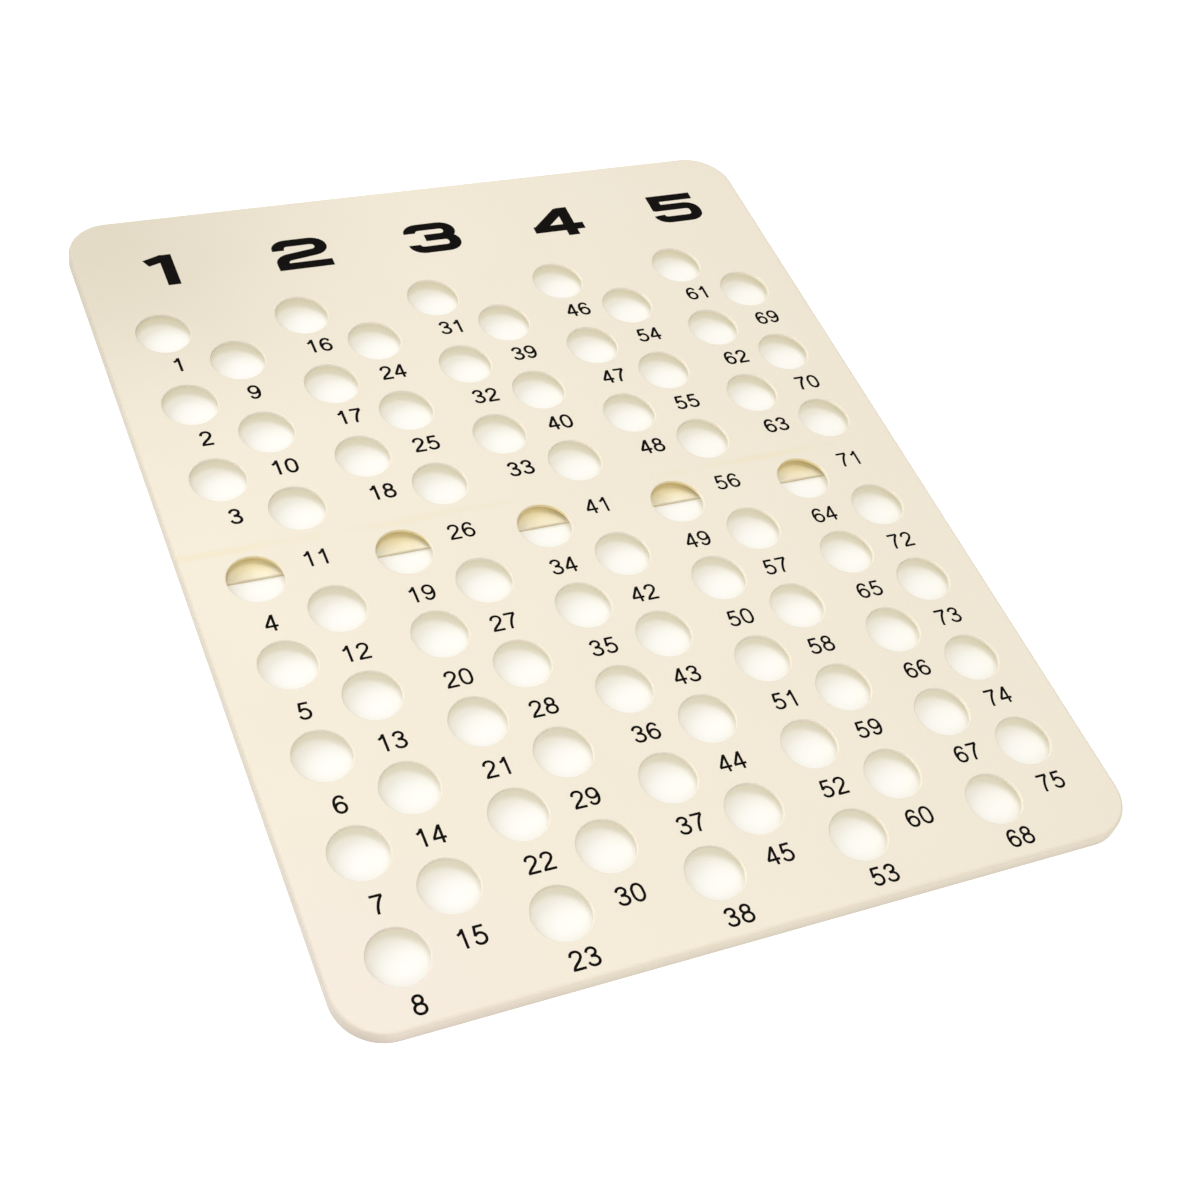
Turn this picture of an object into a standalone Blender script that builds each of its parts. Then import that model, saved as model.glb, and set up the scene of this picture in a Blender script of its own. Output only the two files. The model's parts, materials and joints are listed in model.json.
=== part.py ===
"""Bingo master board: two moulded shell panels butted edge to edge and bonded over a flat joint strip.

Metres, +Z up. The origin is on the table under the middle of the board. +Y points to the header end.
"""

import bmesh
import bpy
from mathutils import Matrix, Vector

for leftover in list(bpy.data.objects):
    bpy.data.objects.remove(leftover, do_unlink=True)

# Ball holes: columns of two files each, the second file half a row nearer than the first
HOLE_DIAMETER = 0.0173
COLUMNS = 5
COLUMN_PITCH = 0.046
FILE_OFFSET = 0.0199
ROW_PITCH = 0.0324
ROWS_ABOVE_SEAM = (3, 3)
ROWS_BELOW_SEAM = (5, 4)

# Plain margins around the holes
SIDE_MARGIN = 0.0205
HEADER_MARGIN = 0.055
END_MARGIN = 0.0205
SEAM_LAND = 0.00315

# Moulded shell
BOARD_HEIGHT = 0.005
SHEET = 0.0012
SKIRT = 0.0015
SEAM_WALL = 0.0015
CORNER_RADIUS = 0.0148
TOP_EDGE_RADIUS = 0.001
INNER_EDGE_RADIUS = 0.0006

# Joint strip under the seam, a little nearer than the seam itself
STRIP_WIDTH = 0.014
STRIP_THICKNESS = 0.0012
STRIP_NEARER = 0.0018
STRIP_EDGE_RADIUS = 0.0003

# Clearances
SEAM_GAP = 0.0003
BOND_GAP = 0.0003
STRIP_END_GAP = 0.0005
CUT_PAST = 0.002

# Facets of round shapes
HOLE_SIDES = 24
CORNER_STEPS = 8
EDGE_STEPS = 4
INNER_EDGE_STEPS = 1
STRIP_EDGE_STEPS = 2
ROUND_PROFILE = 0.5
SMOOTH_ANGLE = 0.6

# Finishes
PANEL_IVORY = (0.88, 0.80, 0.65)
PANEL_ROUGHNESS = 0.35
STRIP_IVORY = (0.84, 0.74, 0.55)
STRIP_ROUGHNESS = 0.4

# Places that follow from the sizes above
HOLE_RADIUS = HOLE_DIAMETER / 2
STAGGER = ROW_PITCH / 2
SAME_PLACE = CUT_PAST / 10
BOARD_WIDTH = 2 * SIDE_MARGIN + (COLUMNS - 1) * COLUMN_PITCH + FILE_OFFSET
FIRST_FILE_X = SIDE_MARGIN - BOARD_WIDTH / 2


def rows_depth(rows):
    """Distance from the first row of a panel's holes to its last, over both files."""
    return max((rows[0] - 1) * ROW_PITCH, (rows[1] - 1) * ROW_PITCH + STAGGER)


UPPER_DEPTH = HEADER_MARGIN + rows_depth(ROWS_ABOVE_SEAM) + HOLE_RADIUS + SEAM_LAND
LOWER_DEPTH = END_MARGIN + rows_depth(ROWS_BELOW_SEAM) + HOLE_RADIUS + SEAM_LAND
BOARD_LENGTH = UPPER_DEPTH + SEAM_GAP + LOWER_DEPTH
FAR_Y = BOARD_LENGTH / 2
NEAR_Y = -BOARD_LENGTH / 2
UPPER_SEAM_Y = FAR_Y - UPPER_DEPTH
LOWER_SEAM_Y = NEAR_Y + LOWER_DEPTH
SEAM_Y = (UPPER_SEAM_Y + LOWER_SEAM_Y) / 2
UPPER_FIRST_ROW_Y = FAR_Y - HEADER_MARGIN
LOWER_FIRST_ROW_Y = LOWER_SEAM_Y - SEAM_LAND - HOLE_RADIUS
INNER_WIDTH = BOARD_WIDTH - 2 * SKIRT


def collection(name):
    made = bpy.data.collections.new(name)
    bpy.context.scene.collection.children.link(made)
    return made


parts = collection("Bingo master board")
cutters = collection("Cutters")


def plastic(name, colour, roughness):
    """A moulded plastic finish."""
    made = bpy.data.materials.new(name)
    made.use_nodes = True
    shader = made.node_tree.nodes["Principled BSDF"]
    shader.inputs["Base Color"].default_value = (*colour, 1.0)
    shader.inputs["Roughness"].default_value = roughness
    shader.inputs["Metallic"].default_value = 0.0
    return made


def add_object(name, mesh_builder, material):
    """A part from a bmesh, smooth where its faces meet gently."""
    mesh = bpy.data.meshes.new(name)
    mesh_builder.to_mesh(mesh)
    mesh_builder.free()
    mesh.materials.append(material)
    mesh.shade_smooth()
    mesh.set_sharp_from_angle(angle=SMOOTH_ANGLE)
    made = bpy.data.objects.new(name, mesh)
    parts.objects.link(made)
    return made


def add_cutter(name, mesh_builder):
    """A shape that is only taken away from the parts."""
    mesh = bpy.data.meshes.new(name)
    mesh_builder.to_mesh(mesh)
    mesh_builder.free()
    mesh.shade_smooth()
    made = bpy.data.objects.new(name, mesh)
    made.hide_render = True
    made.display_type = "WIRE"
    cutters.objects.link(made)
    return made


def cut(part, cutter):
    modifier = part.modifiers.new(cutter.name, "BOOLEAN")
    modifier.operation = "DIFFERENCE"
    modifier.solver = "EXACT"
    modifier.object = cutter


def block(low, high):
    """A box between two corners."""
    made = bmesh.new()
    bmesh.ops.create_cube(made, size=1.0)
    size = Vector(high) - Vector(low)
    middle = (Vector(high) + Vector(low)) / 2
    bmesh.ops.scale(made, vec=size, verts=made.verts)
    bmesh.ops.translate(made, vec=middle, verts=made.verts)
    return made


def bevel(shape, edges, radius, steps):
    """Rounds edges with a circular arc."""
    bmesh.ops.bevel(
        shape,
        geom=edges,
        offset=radius,
        segments=steps,
        profile=ROUND_PROFILE,
        affect="EDGES",
        clamp_overlap=True,
    )


def round_edges(shape, wanted, radius, steps):
    """Rounds each edge whose two ends both pass the test."""
    edges = [edge for edge in shape.edges if all(wanted(vert.co) for vert in edge.verts)]
    bevel(shape, edges, radius, steps)


def round_corners(shape, outer_y, radius):
    """Rounds the two upright edges at the end of a panel that faces away from the seam."""
    upright = [
        edge
        for edge in shape.edges
        if all(abs(vert.co.y - outer_y) < SAME_PLACE for vert in edge.verts)
        and abs(edge.verts[0].co.z - edge.verts[1].co.z) > SAME_PLACE
    ]
    bevel(shape, upright, radius, CORNER_STEPS)


def round_top(shape, top_z, seam_y, radius):
    """Rounds the top edges of a panel, leaving its seam edge sharp."""
    edges = [
        edge
        for edge in shape.edges
        if all(abs(vert.co.z - top_z) < SAME_PLACE for vert in edge.verts)
        and not all(abs(vert.co.y - seam_y) < SAME_PLACE for vert in edge.verts)
    ]
    bevel(shape, edges, radius, EDGE_STEPS)


def hole_places(first_row_y, rows):
    """Centres of one panel's holes. Above the seam the first file starts first, and below it too."""
    for column in range(COLUMNS):
        for file in range(2):
            for row in range(rows[file]):
                x = FIRST_FILE_X + column * COLUMN_PITCH + file * FILE_OFFSET
                yield x, first_row_y - row * ROW_PITCH - file * STAGGER


def hole_cutter(name, first_row_y, rows):
    """Upright cylinders through the sheet, one for each ball hole."""
    made = bmesh.new()
    height = BOARD_HEIGHT + 2 * CUT_PAST
    for x, y in hole_places(first_row_y, rows):
        bmesh.ops.create_cone(
            made,
            cap_ends=True,
            segments=HOLE_SIDES,
            radius1=HOLE_RADIUS,
            radius2=HOLE_RADIUS,
            depth=height,
            matrix=Matrix.Translation((x, y, BOARD_HEIGHT / 2)),
        )
    return add_cutter(name, made)


def panel(name, outer_y, seam_y, first_row_y, rows, material):
    """One moulded shell: a sheet with a turned-down rim, open underneath and pierced by its ball holes."""
    half_width = BOARD_WIDTH / 2
    low_y, high_y = sorted((outer_y, seam_y))
    blank = block((-half_width, low_y, 0), (half_width, high_y, BOARD_HEIGHT))
    round_corners(blank, outer_y, CORNER_RADIUS)
    round_top(blank, BOARD_HEIGHT, seam_y, TOP_EDGE_RADIUS)
    made = add_object(name, blank, material)

    inward = 1 if seam_y > outer_y else -1
    hollow_outer_y = outer_y + inward * SKIRT
    hollow_seam_y = seam_y - inward * SEAM_WALL
    low_y, high_y = sorted((hollow_outer_y, hollow_seam_y))
    hollow = block((-INNER_WIDTH / 2, low_y, -CUT_PAST), (INNER_WIDTH / 2, high_y, BOARD_HEIGHT - SHEET))
    round_corners(hollow, hollow_outer_y, CORNER_RADIUS - SKIRT)
    round_edges(hollow, lambda point: point.z > 0, INNER_EDGE_RADIUS, INNER_EDGE_STEPS)
    cut(made, add_cutter(name + "_hollow", hollow))
    cut(made, hole_cutter(name + "_holes", first_row_y, rows))
    return made


upper_ivory = plastic("upper ivory", PANEL_IVORY, PANEL_ROUGHNESS)
lower_ivory = plastic("lower ivory", PANEL_IVORY, PANEL_ROUGHNESS)
strip_ivory = plastic("strip ivory", STRIP_IVORY, STRIP_ROUGHNESS)
upper_panel = panel("upper_panel", FAR_Y, UPPER_SEAM_Y, UPPER_FIRST_ROW_Y, ROWS_ABOVE_SEAM, upper_ivory)
lower_panel = panel("lower_panel", NEAR_Y, LOWER_SEAM_Y, LOWER_FIRST_ROW_Y, ROWS_BELOW_SEAM, lower_ivory)

# The seam walls stop short of the table, and the strip lies in the room under them
seat_half = SEAM_WALL + SEAM_GAP / 2 + CUT_PAST
seat = add_cutter(
    "strip_seat",
    block(
        (-INNER_WIDTH / 2, SEAM_Y - seat_half, -CUT_PAST),
        (INNER_WIDTH / 2, SEAM_Y + seat_half, STRIP_THICKNESS + BOND_GAP),
    ),
)
cut(upper_panel, seat)
cut(lower_panel, seat)

strip_half = INNER_WIDTH / 2 - STRIP_END_GAP
strip_y = SEAM_Y - STRIP_NEARER
strip = block(
    (-strip_half, strip_y - STRIP_WIDTH / 2, 0), (strip_half, strip_y + STRIP_WIDTH / 2, STRIP_THICKNESS)
)
round_edges(strip, lambda point: point.z > 0, STRIP_EDGE_RADIUS, STRIP_EDGE_STEPS)
add_object("joint_strip", strip, strip_ivory)
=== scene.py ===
import json
from math import cos, radians, sin

import bmesh
import bpy
from mathutils import Matrix, Vector

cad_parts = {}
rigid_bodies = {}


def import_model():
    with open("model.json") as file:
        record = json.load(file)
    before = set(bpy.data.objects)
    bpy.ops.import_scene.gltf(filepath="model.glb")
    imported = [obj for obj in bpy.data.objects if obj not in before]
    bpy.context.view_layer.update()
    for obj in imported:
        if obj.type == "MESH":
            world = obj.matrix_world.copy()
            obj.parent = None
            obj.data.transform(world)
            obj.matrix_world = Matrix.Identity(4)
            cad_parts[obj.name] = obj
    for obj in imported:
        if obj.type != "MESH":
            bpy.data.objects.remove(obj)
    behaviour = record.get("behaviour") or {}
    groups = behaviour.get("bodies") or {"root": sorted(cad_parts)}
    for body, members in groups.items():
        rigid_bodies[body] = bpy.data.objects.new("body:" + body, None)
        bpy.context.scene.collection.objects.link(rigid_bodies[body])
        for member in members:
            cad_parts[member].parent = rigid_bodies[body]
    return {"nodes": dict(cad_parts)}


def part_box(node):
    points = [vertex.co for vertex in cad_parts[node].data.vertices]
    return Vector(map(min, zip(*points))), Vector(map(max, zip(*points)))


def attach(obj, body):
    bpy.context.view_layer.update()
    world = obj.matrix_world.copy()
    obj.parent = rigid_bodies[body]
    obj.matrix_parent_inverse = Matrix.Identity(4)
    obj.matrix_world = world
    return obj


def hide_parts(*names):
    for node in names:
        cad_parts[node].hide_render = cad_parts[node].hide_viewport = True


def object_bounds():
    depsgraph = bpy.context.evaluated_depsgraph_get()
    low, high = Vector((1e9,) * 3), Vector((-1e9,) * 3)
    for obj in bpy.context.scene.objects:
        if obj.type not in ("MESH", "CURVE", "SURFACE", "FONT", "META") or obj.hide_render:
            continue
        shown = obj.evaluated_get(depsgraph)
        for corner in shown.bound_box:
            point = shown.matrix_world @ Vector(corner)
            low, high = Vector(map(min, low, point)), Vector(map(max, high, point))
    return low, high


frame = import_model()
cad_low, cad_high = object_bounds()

for stock_material in list(bpy.data.materials):
    if stock_material.users == 0:
        bpy.data.materials.remove(stock_material)


# Upper panel: the far moulding, a thin shell of ivory plastic whose rim turns down to the table.
# Its thirty ball holes were moulded with it, and their edges were eased a little when it was polished.
# It meets the lower panel edge to edge and is bonded to the joint strip underneath.

upper_low, upper_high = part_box("upper_panel")
lower_low, lower_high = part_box("lower_panel")
strip_low, strip_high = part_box("joint_strip")
board_top = upper_high.z
seam_y = (upper_low.y + lower_high.y) / 2

corner_radius = 0.0148
top_edge_radius = 0.0010
sheet_thickness = 0.0012
wall_thickness = 0.0015
seam_hairline = 0.000002
seat_reach = 0.003
bond_gap = 0.0003
cut_past = 0.002
hole_lip = 0.00028
eased_edge = 0.00012
hole_diameter = 0.0173
hole_columns = 5
column_pitch = 0.046
file_offset = 0.0199
row_pitch = 0.0324
first_hole_x = -0.10195
upper_first_row_y = 0.100
lower_first_row_y = -0.0049
upper_rows = (3, 3)
lower_rows = (5, 4)

# Facets of the round shapes, and how near is taken as touching
corner_steps = 24
top_edge_steps = 8
lip_steps = 5
eased_steps = 2
hole_sides = 72
round_profile = 0.5
hard_angle = radians(50)
touch = 0.0001
same_plane = 0.00001
same_point = 0.0000001


def add_node(tree, kind, inputs, **settings):
    """A new node with its settings made, and each input set to a value or joined to another node's output."""
    node = tree.nodes.new(kind)
    for setting, value in settings.items():
        setattr(node, setting, value)
    for name, value in inputs.items():
        if isinstance(value, bpy.types.NodeSocket):
            tree.links.new(value, node.inputs[name])
        else:
            node.inputs[name].default_value = value
    return node


def maths(tree, operation, *values):
    return add_node(tree, "ShaderNodeMath", dict(enumerate(values)), operation=operation).outputs["Value"]


def noise(tree, place, scale, detail):
    inputs = {"Vector": place, "Scale": scale, "Detail": detail}
    return add_node(tree, "ShaderNodeTexNoise", inputs).outputs["Fac"]


def ranged(tree, value, start, end, low=0.0, high=1.0, easing="LINEAR"):
    """A value carried from the range between start and end to the range between low and high."""
    inputs = {"Value": value, "From Min": start, "From Max": end, "To Min": low, "To Max": high}
    return add_node(tree, "ShaderNodeMapRange", inputs, interpolation_type=easing).outputs["Result"]


def blended(tree, first, second, factor, blend="MIX"):
    """The first colour changed towards the second. Either is a plain colour or another node's output."""
    inputs = {"A": first, "B": second, "Factor": factor}
    inputs = {name: (*value, 1.0) if isinstance(value, tuple) else value for name, value in inputs.items()}
    return add_node(tree, "ShaderNodeMix", inputs, data_type="RGBA", blend_type=blend).outputs["Result"]


def two_toned(tree, value, first, second):
    """A colour between two others, each given with the value at which it is reached."""
    ramp = add_node(tree, "ShaderNodeValToRGB", {"Fac": value})
    for element, (position, colour) in zip(ramp.color_ramp.elements, (first, second)):
        element.position = position
        element.color = (*colour, 1.0)
    return ramp.outputs["Color"]


def new_material(name, constants):
    """A material with constants set on its shader, together with its node tree and that shader."""
    made = bpy.data.materials.new(name)
    made.use_nodes = True
    shader = made.node_tree.nodes["Principled BSDF"]
    for socket, value in constants.items():
        shader.inputs[socket].default_value = value
    return made, made.node_tree, shader


def ivory_plastic(name, colour, mottle, cloud_scale, roughness, translucent, depth, age_and_painted_light):
    """Moulded ivory plastic: cloudy colour and a faint orange-peel surface.

    With age, the seam is a little yellowed. The rim carries painted shade on its top edge and left wall, and
    painted light on its near wall. The far left corner carries painted shade and the near left one a painted
    pinkish reflection. The hole walls are paler too, and golden over the strip: painted light for the light
    through them.
    """
    made, tree, shader = new_material(name, {
        "IOR": 1.49, "Specular IOR Level": 0.15, "Subsurface Weight": translucent,
        "Subsurface Radius": (1.0, 0.75, 0.45), "Subsurface Scale": depth,
    })
    coordinates = tree.nodes.new("ShaderNodeTexCoord").outputs
    place = coordinates["Object"]
    along = add_node(tree, "ShaderNodeSeparateXYZ", {"Vector": place}).outputs
    facing = add_node(tree, "ShaderNodeSeparateXYZ", {"Vector": coordinates["Normal"]}).outputs

    def vector_step(operation, first, second=(0.0, 0.0, 0.0)):
        step = add_node(tree, "ShaderNodeVectorMath", {0: first, 1: second}, operation=operation)
        return step.outputs["Value" if operation in ("LENGTH", "DISTANCE") else "Vector"]

    def toned(base, measure, start, full, tone):
        fade = ranged(tree, measure, start, full, high=age_and_painted_light, easing="SMOOTHSTEP")
        return blended(tree, base, tone, fade, "MULTIPLY")

    def off_line(measure, line):
        return maths(tree, "ABSOLUTE", maths(tree, "SUBTRACT", measure, line))

    clouds = noise(tree, place, cloud_scale, 3.0)
    look = two_toned(tree, clouds, (0.3, mottle), (0.7, colour))

    # The yellowed line along the seam, which wanders a little and fades in patches
    wander = 0.004
    line_reach = 0.0020
    line_strength = 0.7
    line_fade = (0.995, 0.965, 0.82)
    wandering_y = maths(tree, "MULTIPLY_ADD", noise(tree, place, 45.0, 4.0), wander, along["Y"])
    line = ranged(tree, off_line(wandering_y, seam_y + wander / 2), 0.0, line_reach,
                  line_strength * age_and_painted_light, 0.0, "SMOOTHSTEP")
    patches = ranged(tree, clouds, 0.42, 0.62)
    line_colour = tuple(channel * fade for channel, fade in zip(colour, line_fade))
    look = blended(tree, look, line_colour, maths(tree, "MULTIPLY", line, patches))

    # The rim: painted shade on its top edge and its left wall, and painted light on its near wall
    flat_place = vector_step("MULTIPLY", place, (1.0, 1.0, 0.0))
    straight_reach = (cad_high.x - corner_radius, cad_high.y - corner_radius, 0.0)
    past_straight = vector_step("SUBTRACT", vector_step("ABSOLUTE", flat_place), straight_reach)
    past_middle = vector_step("LENGTH", vector_step("MAXIMUM", past_straight))
    inside_rim = ranged(tree, past_middle, 0.006, 0.002)
    untoned = (1.0, 1.0, 1.0)
    wall_lit_height = 0.0035
    # Painted shade: a little darker on the rounding of the top edge, just inside the outline
    look = toned(look, past_middle, corner_radius - 0.0014, corner_radius - 0.0004, (0.98, 0.975, 0.97))
    # Painted shade on the rim's walls that face left
    left_wall_painted_shade = blended(tree, (0.865, 0.86, 0.85), untoned, inside_rim)
    look = toned(look, facing["X"], 0.0, -0.6, left_wall_painted_shade)
    # Painted light on the rim's near wall, lighter up high and turning to painted shade at its foot
    up_wall = ranged(tree, along["Z"], 0.0, wall_lit_height)
    near_wall_painted_light_and_shade = blended(tree, (0.98, 0.955, 0.93), (1.14, 1.115, 1.09), up_wall)
    near_wall_painted_light_and_shade = blended(tree, near_wall_painted_light_and_shade, untoned, inside_rim)
    look = toned(look, facing["Y"], 0.0, -0.8, near_wall_painted_light_and_shade)

    # Painted shade darkening the far left corner, and a painted pinkish reflection on the near left one
    from_far_left = vector_step("DISTANCE", flat_place, (cad_low.x, cad_high.y, 0.0))
    look = toned(look, from_far_left, 0.13, 0.0, (0.84, 0.835, 0.81))
    from_near_left = vector_step("DISTANCE", flat_place, (cad_low.x, cad_low.y, 0.0))
    look = toned(look, from_near_left, 0.075, 0.025, (1.0, 0.985, 1.03))

    # Painted light on the hole walls, told from the top by how steep they are: paler, and golden over the
    # strip, for the light that comes through the plastic
    strip_wall_y = lower_first_row_y + 0.007
    over_strip = ranged(tree, off_line(along["Y"], strip_wall_y), 0.0065, 0.003, easing="SMOOTHSTEP")
    hole_wall_painted_light = blended(tree, (1.22, 1.22, 1.25), (1.18, 1.09, 0.74), over_strip)
    hole_wall_painted_light = blended(tree, untoned, hole_wall_painted_light, inside_rim)
    look = toned(look, maths(tree, "ABSOLUTE", facing["Z"]), 0.8, 0.3, hole_wall_painted_light)
    tree.links.new(look, shader.inputs["Base Color"])

    rub = 0.05
    gloss = ranged(tree, noise(tree, place, 60.0, 5.0), 0.0, 1.0, roughness - rub, roughness + rub)
    tree.links.new(gloss, shader.inputs["Roughness"])
    peel = noise(tree, place, 260.0, 2.0)
    bump = add_node(tree, "ShaderNodeBump", {"Height": peel, "Strength": 0.06, "Distance": 0.0002})
    tree.links.new(bump.outputs["Normal"], shader.inputs["Normal"])
    return made


def begin_tree(name, named_inputs):
    """A geometry node tree with its named inputs, together with the sockets that hand them in."""
    tree = bpy.data.node_groups.new(name, "GeometryNodeTree")
    tree.interface.new_socket("Geometry", in_out="INPUT", socket_type="NodeSocketGeometry")
    for socket, kind in named_inputs.items():
        tree.interface.new_socket(socket, in_out="INPUT", socket_type="NodeSocket" + kind)
    tree.interface.new_socket("Geometry", in_out="OUTPUT", socket_type="NodeSocketGeometry")
    return tree, tree.nodes.new("NodeGroupInput").outputs


def end_tree(tree, shape, material):
    """Ends a tree: all instances are made real, the material is set and the result is handed out."""
    real = add_node(tree, "GeometryNodeRealizeInstances", {"Geometry": shape})
    finished = add_node(tree, "GeometryNodeSetMaterial", {
        "Geometry": real.outputs["Geometry"], "Material": material})
    add_node(tree, "NodeGroupOutput", {"Geometry": finished.outputs["Geometry"]})
    return tree


def ball_hole_tree():
    """A block of ball holes: upright drills on a grid of columns and rows, taken out of the sheet."""
    tree, given = begin_tree("Ball holes", {
        "First hole": "Vector", "Columns": "Int", "Column pitch": "Float", "Rows": "Int",
        "Row pitch": "Float", "Hole diameter": "Float", "Finish": "Material",
    })
    drill_length = 0.02
    width = maths(tree, "MULTIPLY", maths(tree, "SUBTRACT", given["Columns"], 1), given["Column pitch"])
    depth = maths(tree, "MULTIPLY", maths(tree, "SUBTRACT", given["Rows"], 1), given["Row pitch"])
    grid = add_node(tree, "GeometryNodeMeshGrid", {
        "Size X": width, "Size Y": depth, "Vertices X": given["Columns"], "Vertices Y": given["Rows"]})
    to_middle = add_node(tree, "ShaderNodeCombineXYZ", {
        "X": maths(tree, "MULTIPLY", width, 0.5), "Y": maths(tree, "MULTIPLY", depth, -0.5)})
    middle = add_node(tree, "ShaderNodeVectorMath", {
        0: given["First hole"], 1: to_middle.outputs["Vector"]}, operation="ADD")
    placed = add_node(tree, "GeometryNodeTransform", {
        "Geometry": grid.outputs["Mesh"], "Translation": middle.outputs["Vector"]})
    drill = add_node(tree, "GeometryNodeMeshCylinder", {
        "Vertices": hole_sides, "Depth": drill_length,
        "Radius": maths(tree, "MULTIPLY", given["Hole diameter"], 0.5)})
    drills = add_node(tree, "GeometryNodeInstanceOnPoints", {
        "Points": placed.outputs["Geometry"], "Instance": drill.outputs["Mesh"]})
    real_drills = add_node(tree, "GeometryNodeRealizeInstances", {"Geometry": drills.outputs["Instances"]})
    pierced = add_node(tree, "GeometryNodeMeshBoolean", {
        "Mesh 1": given["Geometry"], "Mesh 2": real_drills.outputs["Geometry"]},
        operation="DIFFERENCE", solver="EXACT")
    return end_tree(tree, pierced.outputs["Mesh"], given["Finish"])


def add_nodes(piece, tree, values):
    """Puts a node tree on a piece, with its sizes set by the sockets' identifiers."""
    modifier = piece.modifiers.new(tree.name, "NODES")
    modifier.node_group = tree
    for item in tree.interface.items_tree:
        if item.in_out == "INPUT" and item.name in values:
            modifier[item.identifier] = values[item.name]


def plain_mesh(piece):
    """A plain mesh of a piece, with all its modifiers worked in."""
    bpy.context.view_layer.update()
    shaped = piece.evaluated_get(bpy.context.evaluated_depsgraph_get())
    return bpy.data.meshes.new_from_object(shaped)


def made_plain(piece):
    """The piece with its plain mesh in place of its old mesh and modifiers."""
    mesh = plain_mesh(piece)
    piece.modifiers.clear()
    old = piece.data
    piece.data = mesh
    if old.users == 0:
        bpy.data.meshes.remove(old)
    return piece


def add_piece(name, data):
    piece = bpy.data.objects.new(name, data)
    bpy.context.scene.collection.objects.link(piece)
    return piece


def rounded_block(name, low, high, outer_y, radius, top_radius):
    """A block whose two outer corners are rounded, and its top edges too, save the one along the seam."""
    shape = bmesh.new()
    bmesh.ops.create_cube(shape, size=1.0)
    bmesh.ops.scale(shape, vec=high - low, verts=shape.verts)
    bmesh.ops.translate(shape, vec=(low + high) / 2, verts=shape.verts)
    inner_y = low.y if abs(high.y - outer_y) < touch else high.y

    def bevel(edges, size, steps):
        bmesh.ops.bevel(shape, geom=edges, offset=size, segments=steps, profile=round_profile, affect="EDGES",
                        clamp_overlap=True)

    if radius:
        outer_uprights = [edge for edge in shape.edges
                          if all(abs(vert.co.y - outer_y) < touch for vert in edge.verts)
                          and abs(edge.verts[0].co.z - edge.verts[1].co.z) > touch]
        bevel(outer_uprights, radius, corner_steps)
    if top_radius:
        free_top_edges = [edge for edge in shape.edges
                          if all(abs(vert.co.z - high.z) < touch for vert in edge.verts)
                          and not all(abs(vert.co.y - inner_y) < touch for vert in edge.verts)]
        bevel(free_top_edges, top_radius, top_edge_steps)
    mesh = bpy.data.meshes.new(name)
    shape.to_mesh(mesh)
    shape.free()
    return add_piece(name, mesh)


def ease_edges(panel, meet_y):
    """Rounds the lips of a panel's holes and eases its other hard edges, save those along the seam."""
    shape = bmesh.new()
    shape.from_mesh(panel.data)
    bmesh.ops.remove_doubles(shape, verts=shape.verts, dist=same_point)
    hard = [edge for edge in shape.edges
            if len(edge.link_faces) == 2 and edge.calc_face_angle() > hard_angle
            and not any(abs(vert.co.y - meet_y) < same_plane for vert in edge.verts)]
    lips = [edge for edge in hard if all(abs(vert.co.z - board_top) < same_plane for vert in edge.verts)]
    known_lips = set(lips)
    others = [edge for edge in hard if edge not in known_lips]
    for edges, size, steps in ((lips, hole_lip, lip_steps), (others, eased_edge, eased_steps)):
        bmesh.ops.bevel(shape, geom=edges, offset=size, segments=steps, profile=round_profile, affect="EDGES",
                        clamp_overlap=False, loop_slide=False)
    bmesh.ops.remove_doubles(shape, verts=shape.verts, dist=same_point)
    shape.to_mesh(panel.data)
    shape.free()


def pierced_panel(name, low, high, outer_y, first_row_y, rows, finish):
    """One moulded shell: hollow underneath, notched for the strip, pierced by two files of ball holes."""
    inward = 1 if outer_y == low.y else -1
    meet_y = seam_y - inward * seam_hairline / 2
    low, high = Vector(low), Vector(high)
    low.y, high.y = sorted((outer_y, meet_y))
    panel = rounded_block(name, low, high, outer_y, corner_radius, top_edge_radius)

    hollow_outer_y = outer_y + inward * wall_thickness
    hollow_low = Vector((low.x + wall_thickness, 0, -cut_past))
    hollow_high = Vector((high.x - wall_thickness, 0, high.z - sheet_thickness))
    hollow_low.y, hollow_high.y = sorted((hollow_outer_y, meet_y - inward * wall_thickness))
    hollow_radius = corner_radius - wall_thickness
    hollow = rounded_block("hollow", hollow_low, hollow_high, hollow_outer_y, hollow_radius, 0)
    seat_low = Vector((low.x + wall_thickness, seam_y - seat_reach, -cut_past))
    seat_high = Vector((high.x - wall_thickness, seam_y + seat_reach, strip_high.z + bond_gap))
    seat = rounded_block("seat", seat_low, seat_high, seat_low.y, 0, 0)
    for cutter in (hollow, seat):
        cut = panel.modifiers.new(cutter.name, "BOOLEAN")
        cut.operation = "DIFFERENCE"
        cut.solver = "EXACT"
        cut.object = cutter
    for file, file_rows in enumerate(rows):
        add_nodes(panel, ball_holes, {
            "First hole": (first_hole_x + file * file_offset, first_row_y - file * row_pitch / 2, 0.0),
            "Columns": hole_columns, "Column pitch": column_pitch,
            "Rows": file_rows, "Row pitch": row_pitch,
            "Hole diameter": hole_diameter, "Finish": finish,
        })
    made_plain(panel)
    for cutter in (hollow, seat):
        bpy.data.objects.remove(cutter)

    ease_edges(panel, meet_y)
    panel.data.materials.clear()
    panel.data.materials.append(finish)
    panel.data.polygons.foreach_set("material_index", [0] * len(panel.data.polygons))
    panel.data.shade_smooth()
    panel.data.set_sharp_from_angle(angle=hard_angle)
    even = panel.modifiers.new("Even shading", "WEIGHTED_NORMAL")
    even.keep_sharp = True
    even.weight = 100
    return made_plain(panel)


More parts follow.
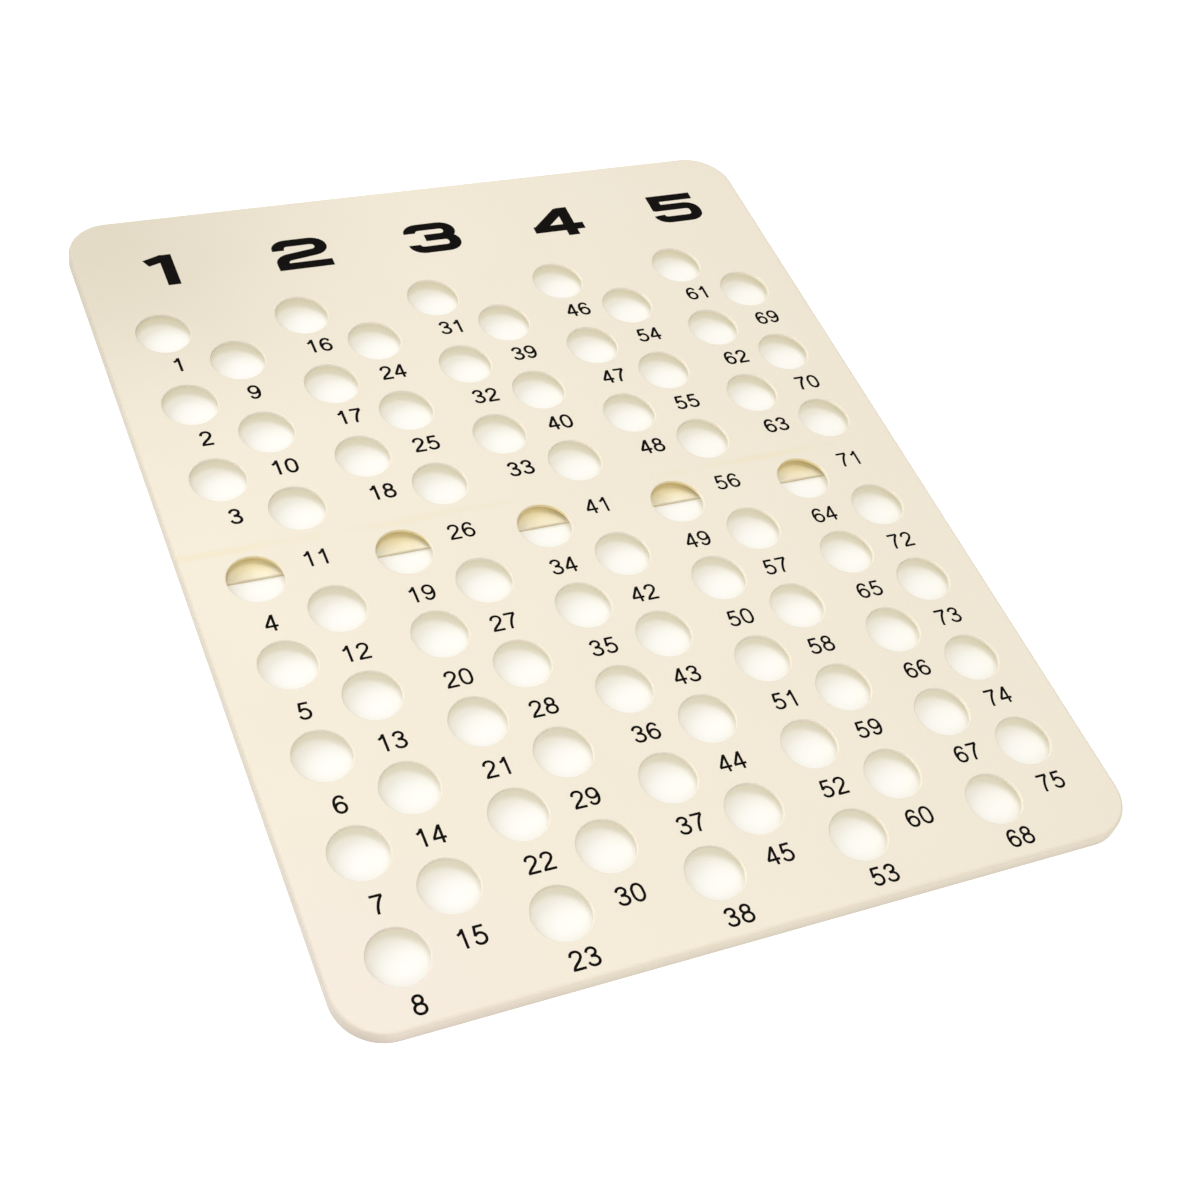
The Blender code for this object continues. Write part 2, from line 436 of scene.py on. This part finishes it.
ball_holes = ball_hole_tree()
panel_ivory = ivory_plastic(
    "Panel ivory", colour=(0.685, 0.629, 0.523), mottle=(0.675, 0.617, 0.508), cloud_scale=22.0,
    roughness=0.42, translucent=0.0, depth=0.0, age_and_painted_light=1.0)
upper_panel = pierced_panel("upper_panel_shell", upper_low, upper_high, upper_high.y, upper_first_row_y,
                            upper_rows, panel_ivory)
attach(upper_panel, "root")
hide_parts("upper_panel")


# Lower panel: the near moulding, of the same plastic and made the same way, with forty-five ball holes.
# Its first row of holes lies over the joint strip, which shows through them.

lower_panel = pierced_panel("lower_panel_shell", lower_low, lower_high, lower_low.y, lower_first_row_y,
                            lower_rows, panel_ivory)
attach(lower_panel, "root")
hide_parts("lower_panel")


# Joint strip: a flat ivory strip under the whole width of the seam, to which both panels are bonded.
# The CAD solid already has its shape, so it only gets the finish: less polished, and a little more yellow as
# painted light for the golden light between the panels, with painted shade low on its edges, painted light
# that turns golden under the seam and a faint glow for the light through the panels.

strip = frame["nodes"]["joint_strip"]
# Painted shade low on the strip's edges, begun and full at these heights
edge_shade_from = strip_high.z - 0.0004
edge_shade_full = strip_high.z - 0.0008
covered_y = strip_low.y + 0.006
strip_ivory = ivory_plastic(
    "Strip ivory", colour=(0.70, 0.655, 0.53), mottle=(0.61, 0.535, 0.38), cloud_scale=75.0,
    roughness=0.45, translucent=0.4, depth=0.001, age_and_painted_light=0.0)
strip_tree = strip_ivory.node_tree
strip_shader = strip_tree.nodes["Principled BSDF"]
# A faint glow: painted light for the light through the panels
strip_shader.inputs["Emission Color"].default_value = (1.0, 0.79, 0.27, 1.0)
strip_shader.inputs["Emission Strength"].default_value = 0.15
strip_place = strip_tree.nodes.new("ShaderNodeTexCoord").outputs["Object"]
strip_along = add_node(strip_tree, "ShaderNodeSeparateXYZ", {"Vector": strip_place}).outputs
strip_look = strip_shader.inputs["Base Color"].links[0].from_socket
# Painted shade: darker towards the strip's foot, for the shade along its near edge by the table
painted_edge_shade = ranged(strip_tree, strip_along["Z"], edge_shade_from, edge_shade_full)
strip_look = blended(strip_tree, strip_look, (0.72, 0.70, 0.70), painted_edge_shade, "MULTIPLY")
# Painted light: bluer at the strip's near edge, and lighter and golden under the seam, for the light through
# the panels
under_seam = ranged(strip_tree, strip_along["Y"], strip_low.y, covered_y)
painted_light_under_seam = blended(strip_tree, (0.92, 0.97, 1.10), (1.14, 1.13, 0.96), under_seam)
strip_look = blended(strip_tree, strip_look, painted_light_under_seam, 1.0, "MULTIPLY")
strip_tree.links.new(strip_look, strip_shader.inputs["Base Color"])
strip.data.materials.clear()
strip.data.materials.append(strip_ivory)


# Numerals: the black ink beside the holes, screen-printed on each panel before the two were joined.
# Each numeral is a plain stroke of even width, and the two digits of a number stand a little apart.

numeral_height = 0.006
numeral_advance = 0.0046
upper_stroke = 0.150
lower_stroke = 0.135
ink_thickness = 0.00003
ink_sunk = 0.00001

# Characters are drawn one unit tall, and then set at their size
drawn_thickness = 0.1
digit_width = 0.66
curve_steps = 5
bend_steps = 6
sliver = 0.0005

# Centre lines of the digits: straight strokes, smooth strokes and closed smooth loops
digit_strokes = {
    0: [("loop", (0.33, 0.935), (0.52, 0.83), (0.59, 0.50), (0.52, 0.17), (0.33, 0.065), (0.14, 0.17),
         (0.07, 0.50), (0.14, 0.83))],
    1: [("line", (0.40, 1.0), (0.40, 0.0)), ("smooth", (0.13, 0.72), (0.27, 0.80), (0.385, 0.95))],
    2: [("smooth", (0.085, 0.70), (0.15, 0.86), (0.33, 0.935), (0.51, 0.87), (0.575, 0.71), (0.48, 0.51),
         (0.28, 0.32), (0.14, 0.18), (0.085, 0.065)), ("line", (0.02, 0.065), (0.64, 0.065))],
    3: [("smooth", (0.09, 0.74), (0.16, 0.87), (0.32, 0.935), (0.49, 0.87), (0.545, 0.735), (0.46, 0.59),
         (0.25, 0.535)),
        ("smooth", (0.25, 0.535), (0.48, 0.48), (0.59, 0.295), (0.52, 0.13), (0.32, 0.065), (0.14, 0.135),
         (0.065, 0.27))],
    4: [("line", (0.47, 1.0), (0.47, 0.0)), ("line", (0.02, 0.295), (0.66, 0.295)),
        ("line", (0.06, 0.30), (0.445, 0.955))],
    5: [("line", (0.17, 0.935), (0.60, 0.935)), ("line", (0.205, 0.985), (0.125, 0.475)),
        ("smooth", (0.115, 0.50), (0.32, 0.61), (0.52, 0.52), (0.59, 0.33), (0.52, 0.145), (0.31, 0.065),
         (0.14, 0.13), (0.065, 0.255))],
    6: [("loop", (0.345, 0.585), (0.52, 0.505), (0.59, 0.325), (0.52, 0.14), (0.345, 0.065), (0.165, 0.14),
         (0.095, 0.325), (0.165, 0.505)),
        ("smooth", (0.57, 0.75), (0.50, 0.885), (0.345, 0.935), (0.175, 0.84), (0.085, 0.62), (0.075, 0.42),
         (0.10, 0.28))],
    7: [("line", (0.04, 0.935), (0.63, 0.935)),
        ("smooth", (0.60, 0.92), (0.43, 0.68), (0.31, 0.41), (0.255, 0.19), (0.24, 0.0))],
    8: [("loop", (0.33, 0.935), (0.48, 0.875), (0.535, 0.735), (0.48, 0.60), (0.33, 0.54), (0.18, 0.60),
         (0.125, 0.735), (0.18, 0.875)),
        ("loop", (0.33, 0.54), (0.52, 0.47), (0.59, 0.30), (0.52, 0.135), (0.33, 0.065), (0.14, 0.135),
         (0.07, 0.30), (0.14, 0.47))],
}
digit_strokes[9] = [(kind, *((digit_width - x, 1.0 - y) for x, y in points))
                    for kind, *points in digit_strokes[6]]


def ink_stroke_tree():
    """Drawn centre lines swept with a flat ribbon of ink, and the ribbons of one character joined."""
    tree, given = begin_tree("Ink strokes", {
        "Stroke width": "Float", "Thickness": "Float", "Corner radius": "Float", "Ink": "Material"})
    bend = add_node(tree, "GeometryNodeFilletCurve", {
        "Curve": given["Geometry"], "Radius": given["Corner radius"], "Count": bend_steps,
        "Limit Radius": True}, mode="POLY")
    level = add_node(tree, "GeometryNodeSetCurveNormal", {"Curve": bend.outputs["Curve"]}, mode="Z_UP")
    ribbon = add_node(tree, "GeometryNodeCurvePrimitiveQuadrilateral", {
        "Width": given["Stroke width"], "Height": given["Thickness"]})
    sweep = add_node(tree, "GeometryNodeCurveToMesh", {
        "Curve": level.outputs["Curve"], "Profile Curve": ribbon.outputs["Curve"], "Fill Caps": True})
    joined = add_node(tree, "GeometryNodeMeshBoolean", {
        "Mesh 2": sweep.outputs["Mesh"], "Self Intersection": True}, operation="UNION", solver="EXACT")
    return end_tree(tree, joined.outputs["Mesh"], given["Ink"])


def drawn_character(name, strokes, sizes):
    """One character as a flat solid, from its centre lines."""
    drawing = bpy.data.curves.new(name, "CURVE")
    drawing.dimensions = "3D"
    for kind, *points in strokes:
        straight = kind == "line"
        spline = drawing.splines.new("POLY" if straight else "BEZIER")
        stops = spline.points if straight else spline.bezier_points
        stops.add(len(points) - 1)
        for stop, (x, y) in zip(stops, points):
            if straight:
                stop.co = (x, y, 0.0, 1.0)
            else:
                stop.co = (x, y, 0.0)
                stop.handle_left_type = stop.handle_right_type = "AUTO"
        if not straight:
            spline.resolution_u = curve_steps
            spline.use_cyclic_u = kind == "loop"
    sketch = add_piece(name, drawing)
    add_nodes(sketch, ink_strokes, sizes)
    mesh = plain_mesh(sketch)
    shape = bmesh.new()
    shape.from_mesh(mesh)
    bmesh.ops.remove_doubles(shape, verts=shape.verts, dist=sliver)
    bmesh.ops.dissolve_degenerate(shape, edges=shape.edges, dist=sliver)
    stray = [vert for vert in shape.verts if not vert.link_faces]
    bmesh.ops.delete(shape, geom=stray, context="VERTS")
    shape.to_mesh(mesh)
    shape.free()
    solid = bpy.data.objects.new(name, mesh)
    bpy.data.objects.remove(sketch)
    bpy.data.curves.remove(drawing)
    return solid


def character_set(name, drawings, stroke, corner):
    """The characters of one print, in the order of their numbers."""
    made = bpy.data.collections.new(name)
    for index, strokes in enumerate(drawings):
        made.objects.link(drawn_character(f"character_{index:02d}", strokes, {
            "Stroke width": stroke, "Thickness": drawn_thickness, "Corner radius": corner, "Ink": black_ink}))
    return made


def clear_away(characters):
    """Takes the loose characters away once they have been printed."""
    for character in list(characters.objects):
        bpy.data.objects.remove(character)
    bpy.data.collections.remove(characters)


def print_tree():
    """Characters picked by number and set on their places."""
    tree, given = begin_tree("Print", {"Characters": "Collection", "Size": "Vector", "Ink": "Material"})
    characters = add_node(tree, "GeometryNodeCollectionInfo", {
        "Collection": given["Characters"], "Separate Children": True})
    which = add_node(tree, "GeometryNodeInputNamedAttribute", {"Name": "character"}, data_type="INT")
    stamp = add_node(tree, "GeometryNodeInstanceOnPoints", {
        "Points": given["Geometry"], "Instance": characters.outputs["Instances"], "Pick Instance": True,
        "Instance Index": which.outputs["Attribute"], "Scale": given["Size"]})
    return end_tree(tree, stamp.outputs["Instances"], given["Ink"])


def printed(name, places, characters, size, ink):
    """A print on the board's top, from the lower left corner of each character and its number."""
    points = bpy.data.meshes.new(name)
    points.from_pydata([(x, y, board_top - ink_sunk) for x, y, _ in places], [], [])
    which = points.attributes.new("character", "INT", "POINT")
    which.data.foreach_set("value", [index for _, _, index in places])
    piece = add_piece(name, points)
    add_nodes(piece, print_on_board, {"Characters": characters, "Size": size, "Ink": ink})
    made_plain(piece)
    piece.data.shade_flat()
    return piece


black_ink, ink_tree, ink_shader = new_material("Black ink", {"Specular IOR Level": 0.03})
ink_place = ink_tree.nodes.new("ShaderNodeTexCoord").outputs["Object"]
ink_grain = noise(ink_tree, ink_place, 900.0, 2.0)
ink_colour = two_toned(ink_tree, ink_grain, (0.0, (0.002, 0.002, 0.002)), (1.0, (0.006, 0.0045, 0.0035)))
ink_tree.links.new(ink_colour, ink_shader.inputs["Base Color"])
ink_gloss = ranged(ink_tree, ink_grain, 0.0, 1.0, 0.4, 0.55)
ink_tree.links.new(ink_gloss, ink_shader.inputs["Roughness"])

ink_strokes = ink_stroke_tree()
print_on_board = print_tree()


def number_places(numbers_and_centres):
    """Lower left corners of the digits of numbers that are centred on given places."""
    places = []
    for number, x, y in numbers_and_centres:
        digits = [int(digit) for digit in str(number)]
        left = x - ((len(digits) - 1) * numeral_advance + digit_width * numeral_height) / 2
        places += [(left + index * numeral_advance, y - numeral_height / 2, digit)
                   for index, digit in enumerate(digits)]
    return places


def registered(numbers_and_centres, shift, stretch, turn):
    """Each panel was printed alone, so its numbers lie a little shifted, stretched and turned as a whole."""
    return [(number, shift[0] + stretch[0] * x - turn * y, shift[1] + stretch[1] * y + turn * x)
            for number, x, y in numbers_and_centres]


# Each number stands nearer than its hole. The one under a column's last hole above the seam is printed
# on the lower panel, past the seam, and the last one of a column's first file stands closer to its hole.
numbers_per_column = 15
rows_above_seam = upper_rows[0]
first_file_holes = upper_rows[0] + lower_rows[0]
last_of_first_file = first_file_holes - 1
last_above_seam = first_file_holes + rows_above_seam - 1
upper_aside, upper_nearer = 0.0012, 0.0148
past_seam_nearer = 0.0196
last_aside, last_nearer = 0.0006, 0.0148
lower_spread, lower_nearer = 0.0004, 0.0164

upper_numbers, lower_numbers = [], []
for column in range(hole_columns):
    first_number = numbers_per_column * column + 1
    for place in range(numbers_per_column):
        file, row = (0, place) if place < first_file_holes else (1, place - first_file_holes)
        hole_x = first_hole_x + column * column_pitch + file * file_offset
        above_seam = row < rows_above_seam
        block_row_y = upper_first_row_y if above_seam else lower_first_row_y
        block_row = row if above_seam else row - rows_above_seam
        hole_y = block_row_y - block_row * row_pitch - file * row_pitch / 2
        if place == last_above_seam:
            lower_numbers.append((first_number + place, hole_x, hole_y - past_seam_nearer))
        elif above_seam:
            upper_numbers.append((first_number + place, hole_x + upper_aside, hole_y - upper_nearer))
        elif place == last_of_first_file:
            lower_numbers.append((first_number + place, hole_x + last_aside, hole_y - last_nearer))
        else:
            aside = (file - 0.5) * lower_spread
            lower_numbers.append((first_number + place, hole_x + aside, hole_y - lower_nearer))
upper_numbers = registered(
    upper_numbers, shift=(0.0, -0.0011), stretch=(1.0037, 1.0107), turn=radians(-0.14))
lower_numbers = registered(
    lower_numbers, shift=(-0.00025, -0.00025), stretch=(1.0016, 0.9941), turn=radians(0.21))

ink_scale = ink_thickness / drawn_thickness
numeral_size = (numeral_height, numeral_height, ink_scale)
for name, numbers, stroke in (("upper_numerals", upper_numbers, upper_stroke),
                              ("lower_numerals", lower_numbers, lower_stroke)):
    digits = character_set("Digit shapes", [digit_strokes[digit] for digit in range(10)], stroke, 0.0)
    numerals = printed(name, number_places(numbers), digits, numeral_size, black_ink)
    clear_away(digits)
    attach(numerals, "root")


# Header: one heavy, wide numeral over each column, in the margin at the far end of the upper panel.
# It is printed in the same black ink as the small numerals, with broad strokes and rounded corners.

header_height = 0.0147
header_stretch = 1.3
header_pitch = 0.04715
header_y = 0.129
header_stroke = 0.225
header_corner = 0.18
heavy_strokes = [
    [("line", (0.60, 0.0), (0.60, 1.0)), ("line", (0.24, 0.77), (0.58, 0.91))],
    [("line", (0.11, 0.66), (0.11, 0.8875), (0.89, 0.8875), (0.89, 0.54), (0.11, 0.39), (0.11, 0.10)),
     ("line", (0.0, 0.1125), (1.0, 0.1125))],
    [("line", (0.11, 0.70), (0.11, 0.8875), (0.87, 0.8875), (0.87, 0.51), (0.36, 0.51)),
     ("line", (0.36, 0.51), (0.89, 0.51), (0.89, 0.1125), (0.11, 0.1125), (0.11, 0.30))],
    [("line", (0.72, 0.0), (0.72, 1.0)), ("line", (0.0, 0.30), (1.0, 0.30)),
     ("line", (0.10, 0.31), (0.66, 0.92))],
    [("line", (0.95, 0.8875), (0.03, 0.8875)), ("line", (0.14, 1.0), (0.14, 0.46)),
     ("line", (0.06, 0.555), (0.89, 0.555), (0.89, 0.1125), (0.11, 0.1125), (0.11, 0.29))],
]
heavy_shapes = character_set("Heavy shapes", heavy_strokes, header_stroke, header_corner)
header_size = (header_height * header_stretch, header_height, ink_scale)
middle_column = (hole_columns - 1) // 2
header_places = [((column - middle_column) * header_pitch - header_size[0] / 2,
                  header_y - header_height / 2, column) for column in range(hole_columns)]
header = printed("header_numerals", header_places, heavy_shapes, header_size, black_ink)
clear_away(heavy_shapes)
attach(header, "root")


# Floor: a plain white table that turns up far away. The part that the board covers takes its shade, and has
# a warm glow for the light through the plastic. Round it the table is so bright that hardly any shade is left.

floor_reach = 8.0
floor_sweep = 0.6
outline_steps = 12
outline = []
for side_x, side_y, start in ((1, 1, 0), (-1, 1, 90), (-1, -1, 180), (1, -1, 270)):
    for step in range(outline_steps + 1):
        angle = radians(start + 90 * step / outline_steps)
        outline.append((side_x * (cad_high.x - corner_radius) + corner_radius * cos(angle),
                        side_y * (cad_high.y - corner_radius) + corner_radius * sin(angle), 0.0))
far_out = [Vector(point).normalized() * floor_reach for point in outline]
swept_up = [point + Vector((0.0, 0.0, floor_sweep)) for point in far_out]
count = len(outline)
floor_faces = [tuple(range(count))]
for ring in (0, count):
    for index in range(count):
        here, after = ring + index, ring + (index + 1) % count
        floor_faces.append((here, here + count, after + count, after))
floor_mesh = bpy.data.meshes.new("floor")
floor_mesh.from_pydata(outline + far_out + swept_up, [], floor_faces)
floor = add_piece("floor", floor_mesh)


def table_white(name, colour, glow_colour, glow):
    made, _, _ = new_material(name, {
        "Base Color": (*colour, 1.0), "Roughness": 0.9, "Specular IOR Level": 0.1,
        "Emission Color": (*glow_colour, 1.0), "Emission Strength": glow,
    })
    return made


covered_table = table_white("Table under the board", (0.40, 0.425, 0.51), (1.0, 0.895, 0.56), 0.46)
lit_table = table_white("Table in the light", (0.15, 0.15, 0.15), (1.0, 1.0, 1.0), 1.0)
floor_mesh.materials.append(covered_table)
floor_mesh.materials.append(lit_table)
for face in floor_mesh.polygons[1:]:
    face.material_index = 1


# Light: a large soft light from the far left, a soft box overhead whose reflection lies on the near left
# corner, a weak soft fill from the near side, and an even white surround that fills the shade.


def soft_box(name, direction, distance, size, energy):
    data = bpy.data.lights.new(name, "AREA")
    data.shape = "DISK"
    data.size = size
    data.energy = energy
    box = bpy.data.objects.new(name, data)
    towards = Vector(direction).normalized()
    box.location = towards * distance
    box.rotation_mode = "QUATERNION"
    box.rotation_quaternion = towards.to_track_quat("Z", "Y")
    bpy.context.scene.collection.objects.link(box)


soft_box("Far left", direction=(-3.7, 3.5, 5.0), distance=3.0, size=2.4, energy=62.5)
soft_box("Overhead", direction=(-0.20, -0.09, 1.2), distance=1.2, size=0.6, energy=4.7)
soft_box("Near fill", direction=(-0.35, -0.80, 0.90), distance=2.0, size=1.0, energy=10.5)
surround = bpy.data.worlds.new("Surround")
surround.use_nodes = True
background = surround.node_tree.nodes["Background"]
background.inputs["Color"].default_value = (1.0, 1.0, 1.0, 1.0)
background.inputs["Strength"].default_value = 0.41
bpy.context.scene.world = surround
bpy.context.scene.view_settings.view_transform = "Standard"


# Camera: held above the near left corner and tilted a little, as the photograph was taken.
# Its place, direction and lens were fitted to the holes of the board.

camera_data = bpy.data.cameras.new("Camera")
camera_data.lens = 59.6
camera_data.sensor_width = 36.0
camera = bpy.data.objects.new("Camera", camera_data)
looking = Vector((0.3769, 0.5368, -0.7549))
camera_tilt = radians(16.5)
tilt = Matrix.Rotation(camera_tilt, 3, -looking.normalized()).to_quaternion()
camera.rotation_mode = "QUATERNION"
camera.rotation_quaternion = tilt @ looking.to_track_quat("-Z", "Y")
camera.location = (-0.2306, -0.3590, 0.4581)
bpy.context.scene.collection.objects.link(camera)
bpy.context.scene.camera = camera
